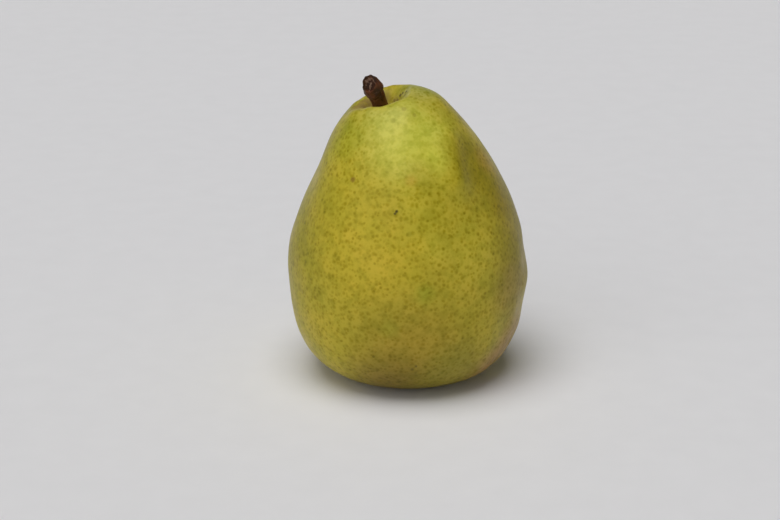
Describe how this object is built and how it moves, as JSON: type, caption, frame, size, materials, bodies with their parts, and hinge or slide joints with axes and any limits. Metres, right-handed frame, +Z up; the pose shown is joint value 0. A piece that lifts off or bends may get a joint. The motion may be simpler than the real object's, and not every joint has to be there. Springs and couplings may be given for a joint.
{
  "type": "pear",
  "caption": "Whole green pear standing on its blossom end, with a broad leaning crown, a shallow stem cavity, a short thick woody stem and a dried calyx underneath.",
  "frame": {"origin": "centre of the pear's bounding box in X and Y, on the plane it rests on", "axes": "+Z up along the fruit's height; the stem leans towards -X and -Y, which is the front left; the crown's high side is +X"},
  "size_m": [0.0806, 0.0802, 0.1044],
  "materials": {
    "pear_skin": "smooth waxy fruit skin, yellow-green with fine dark green dots, satin sheen",
    "stem_bark": "rough dark reddish-brown bark with a scarred end",
    "dried_calyx": "dry dark brown papery sepals"
  },
  "bodies": {
    "root": {"fruit": "pear_skin", "stem": "stem_bark", "calyx": "dried_calyx"}
  },
  "joints": []
}
